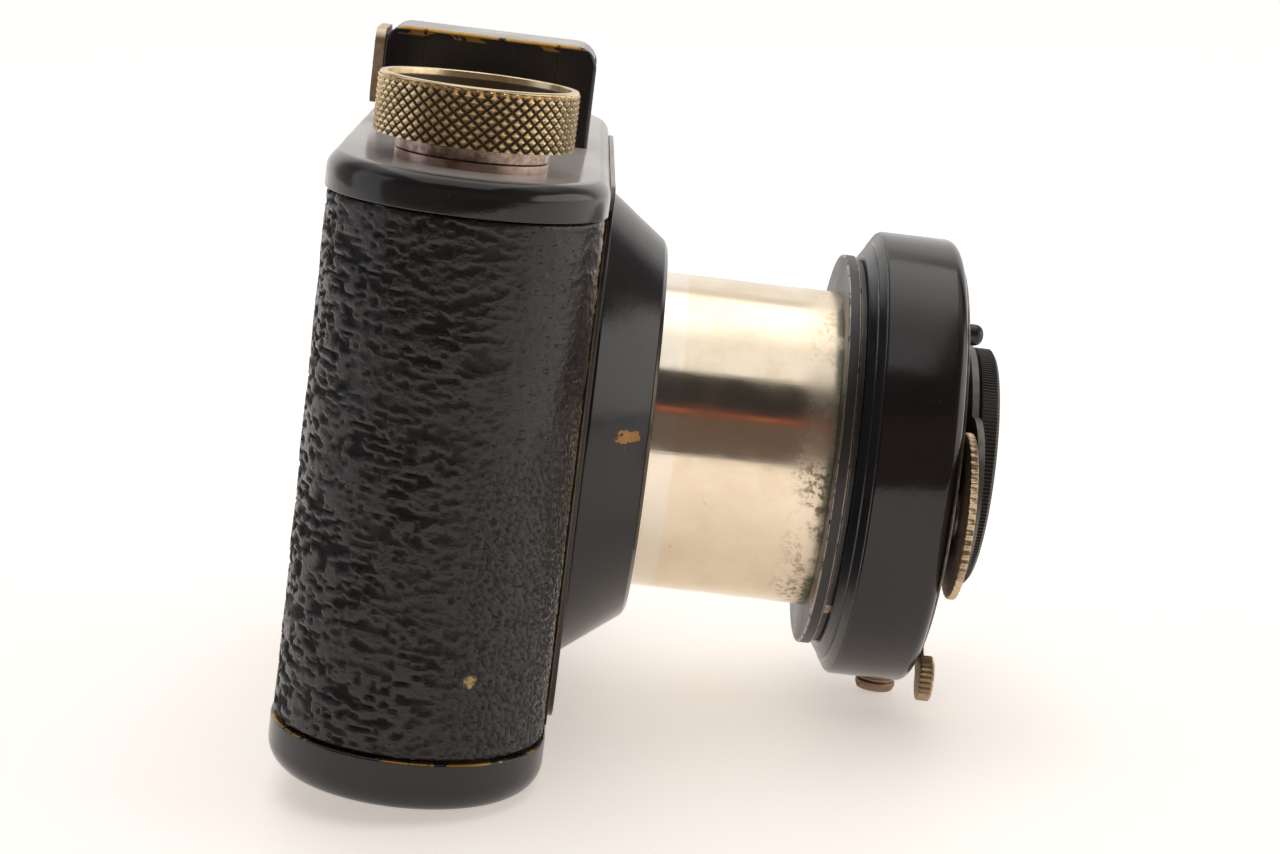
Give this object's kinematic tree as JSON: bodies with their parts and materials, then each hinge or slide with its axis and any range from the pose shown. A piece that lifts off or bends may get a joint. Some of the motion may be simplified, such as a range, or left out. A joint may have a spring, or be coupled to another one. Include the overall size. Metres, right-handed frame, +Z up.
{
  "type": "miniature roll-film camera",
  "caption": "Small leather-covered roll-film camera with rounded ends, a collapsible nickel lens tube, a dial-set leaf shutter, a knurled winding knob and a direct finder.",
  "frame": {"origin": "on the underside's plane, at the middle of the body's length (below the lens axis) and depth", "axes": "+X along the body towards the supply-spool end, -Y out of the lens, +Z up"},
  "size_m": [0.0906, 0.0702, 0.0703],
  "materials": {
    "black_enamel": "glossy black enamel, worn to brass at the edges",
    "black_leather": "black grained leather, semi-gloss",
    "nickel": "aged nickel plate, warm tint",
    "tube_nickel": "polished nickel plate, stained near the flange",
    "knurled_nickel": "diamond-knurled nickel over brass",
    "brass": "plain brass",
    "dark_metal": "blackened metal",
    "blackened_steel": "thin blued steel",
    "steel": "plain steel",
    "felt": "black felt",
    "lens_glass": "clear optical glass",
    "ruby_glass": "ruby red window"
  },
  "bodies": {
    "body": {"front_plate": "black_enamel", "lens_collar": "black_enamel", "top_cap": "black_enamel", "inner_chassis": "dark_metal", "knob_base_ring": "nickel", "finder_housing": "black_enamel", "finder_front_lens": "lens_glass", "finder_eyepiece_lens": "lens_glass", "finder_eyepiece_plate": "nickel", "spool_pivots": "steel", "drag_springs": "steel"},
    "rear_case": {"case_shell": "dark_metal", "leather_cover": "black_leather", "bottom_cap": "black_enamel", "tripod_bush": "brass", "pressure_plate": "dark_metal", "pressure_spring": "steel", "window_bezels": "nickel", "ruby_windows": "ruby_glass"},
    "knob_lift": {"lift_bush": "brass"},
    "winding_knob": {"winding_knob": "knurled_nickel", "winding_shaft": "brass", "knob_screw": "nickel"},
    "take_up_spool": {"take_up_spool": "dark_metal"},
    "supply_spool": {"supply_spool": "dark_metal"},
    "film_roller_left": {"film_roller_left": "steel"},
    "film_roller_right": {"film_roller_right": "steel"},
    "guide_ring": {"guide_ring": "brass", "felt_ring": "felt"},
    "lens_tube": {"lens_tube": "tube_nickel", "tube_flange": "dark_metal", "retaining_ring": "brass", "flange_screw": "nickel", "shutter_back": "black_enamel", "shutter_case": "black_enamel", "shutter_plate": "dark_metal", "faceplate": "dark_metal", "cable_socket": "nickel", "rear_lens_cell": "dark_metal", "rear_element": "lens_glass", "front_barrel": "dark_metal", "index_plate": "nickel", "pivot_screws": "nickel"},
    "speed_dial": {"speed_dial": "nickel"},
    "release_lever": {"release_lever": "nickel"},
    "cocking_lever": {"cocking_lever": "brass", "cocking_pin": "dark_metal"},
    "blade_driver": {"blade_driver": "brass"},
    "shutter_blade_1": {"shutter_blade_1": "blackened_steel"},
    "shutter_blade_2": {"shutter_blade_2": "blackened_steel"},
    "shutter_blade_3": {"shutter_blade_3": "blackened_steel"},
    "aperture_ring": {"aperture_ring": "brass"},
    "focusing_ring": {"focusing_ring": "dark_metal"},
    "front_cell": {"front_cell": "dark_metal", "front_element": "lens_glass"},
    "iris_leaf_1": {"iris_leaf_1": "blackened_steel"},
    "iris_leaf_2": {"iris_leaf_2": "blackened_steel"},
    "iris_leaf_3": {"iris_leaf_3": "blackened_steel"},
    "iris_leaf_4": {"iris_leaf_4": "blackened_steel"},
    "iris_leaf_5": {"iris_leaf_5": "blackened_steel"}
  },
  "joints": [
    {"name": "case_slide", "type": "slide", "parent": "body", "child": "rear_case", "axis": [0, 0, -1], "range_m": [0, 0.055]},
    {"name": "knob_pull", "type": "slide", "parent": "body", "child": "knob_lift", "axis": [0, 0, 1], "range_m": [0, 0.0036]},
    {"name": "knob_turn", "type": "hinge", "parent": "knob_lift", "child": "winding_knob", "pos_m": [-0.0319, 0, 0.06], "axis": [0, 0, -1], "continuous": true},
    {"name": "take_up_turn", "type": "hinge", "parent": "body", "child": "take_up_spool", "pos_m": [-0.0319, 0, 0.03], "axis": [0, 0, -1], "continuous": true},
    {"name": "supply_turn", "type": "hinge", "parent": "body", "child": "supply_spool", "pos_m": [0.0319, 0, 0.03], "axis": [0, 0, -1], "continuous": true},
    {"name": "roller_left_turn", "type": "hinge", "parent": "body", "child": "film_roller_left", "pos_m": [-0.02095, 0.0053, 0.03], "axis": [0, 0, -1], "continuous": true},
    {"name": "roller_right_turn", "type": "hinge", "parent": "body", "child": "film_roller_right", "pos_m": [0.02095, 0.0053, 0.03], "axis": [0, 0, -1], "continuous": true},
    {"name": "lens_turn", "type": "hinge", "parent": "body", "child": "guide_ring", "pos_m": [0, -0.0197, 0.0306], "axis": [0, -1, 0], "range_deg": [-105, 0]},
    {"name": "lens_slide", "type": "slide", "parent": "guide_ring", "child": "lens_tube", "axis": [0, 1, 0], "range_m": [0, 0.0183]},
    {"name": "dial_turn", "type": "hinge", "parent": "lens_tube", "child": "speed_dial", "pos_m": [-0.01842, -0.0521, 0.02889], "axis": [0, -1, 0], "range_deg": [-150, 150]},
    {"name": "release_press", "type": "hinge", "parent": "lens_tube", "child": "release_lever", "pos_m": [-0.00056, -0.0521, 0.01461], "axis": [0, -1, 0], "range_deg": [0, 12], "stiffness_Nm_per_rad": 0.02},
    {"name": "shutter_cock", "type": "hinge", "parent": "lens_tube", "child": "cocking_lever", "pos_m": [0, 0, 0.0306], "axis": [0, -1, 0], "range_deg": [-40, 0], "stiffness_Nm_per_rad": 0.01},
    {"name": "blades_open", "type": "hinge", "parent": "lens_tube", "child": "blade_driver", "pos_m": [0, 0, 0.0306], "axis": [0, -1, 0], "range_deg": [0, 25], "stiffness_Nm_per_rad": 0.005},
    {"name": "blade_1_swing", "type": "hinge", "parent": "lens_tube", "child": "shutter_blade_1", "pos_m": [0.012, -0.0459, 0.0306], "axis": [0, -1, 0], "range_deg": [0, 90]},
    {"name": "blade_2_swing", "type": "hinge", "parent": "lens_tube", "child": "shutter_blade_2", "pos_m": [-0.006, -0.0459, 0.04099], "axis": [0, -1, 0], "range_deg": [0, 90]},
    {"name": "blade_3_swing", "type": "hinge", "parent": "lens_tube", "child": "shutter_blade_3", "pos_m": [-0.006, -0.0459, 0.02021], "axis": [0, -1, 0], "range_deg": [0, 90]},
    {"name": "aperture_set", "type": "hinge", "parent": "lens_tube", "child": "aperture_ring", "pos_m": [0, 0, 0.0306], "axis": [0, -1, 0], "range_deg": [-50, 0]},
    {"name": "iris_1_swing", "type": "hinge", "parent": "lens_tube", "child": "iris_leaf_1", "pos_m": [0.0122, -0.0459, 0.0306], "axis": [0, -1, 0], "range_deg": [0, 32]},
    {"name": "iris_2_swing", "type": "hinge", "parent": "lens_tube", "child": "iris_leaf_2", "pos_m": [0.00377, -0.0459, 0.0422], "axis": [0, -1, 0], "range_deg": [0, 32]},
    {"name": "iris_3_swing", "type": "hinge", "parent": "lens_tube", "child": "iris_leaf_3", "pos_m": [-0.00987, -0.0459, 0.03777], "axis": [0, -1, 0], "range_deg": [0, 32]},
    {"name": "iris_4_swing", "type": "hinge", "parent": "lens_tube", "child": "iris_leaf_4", "pos_m": [-0.00987, -0.0459, 0.02343], "axis": [0, -1, 0], "range_deg": [0, 32]},
    {"name": "iris_5_swing", "type": "hinge", "parent": "lens_tube", "child": "iris_leaf_5", "pos_m": [0.00377, -0.0459, 0.019], "axis": [0, -1, 0], "range_deg": [0, 32]},
    {"name": "focus_turn", "type": "hinge", "parent": "lens_tube", "child": "focusing_ring", "pos_m": [0, 0, 0.0306], "axis": [0, -1, 0], "range_deg": [0, 270]},
    {"name": "focus_shift", "type": "slide", "parent": "lens_tube", "child": "front_cell", "axis": [0, -1, 0], "range_m": [0, 0.001]}
  ],
  "couplings": [
    {"joint": "take_up_turn", "follows": "knob_turn", "ratio": 1},
    {"joint": "focus_shift", "follows": "focus_turn", "m_per_rad": 0.00021221},
    {"joint": "blade_1_swing", "follows": "blades_open", "ratio": 3.6},
    {"joint": "blade_2_swing", "follows": "blades_open", "ratio": 3.6},
    {"joint": "blade_3_swing", "follows": "blades_open", "ratio": 3.6},
    {"joint": "iris_1_swing", "follows": "aperture_set", "ratio": -0.64},
    {"joint": "iris_2_swing", "follows": "aperture_set", "ratio": -0.64},
    {"joint": "iris_3_swing", "follows": "aperture_set", "ratio": -0.64},
    {"joint": "iris_4_swing", "follows": "aperture_set", "ratio": -0.64},
    {"joint": "iris_5_swing", "follows": "aperture_set", "ratio": -0.64}
  ]
}
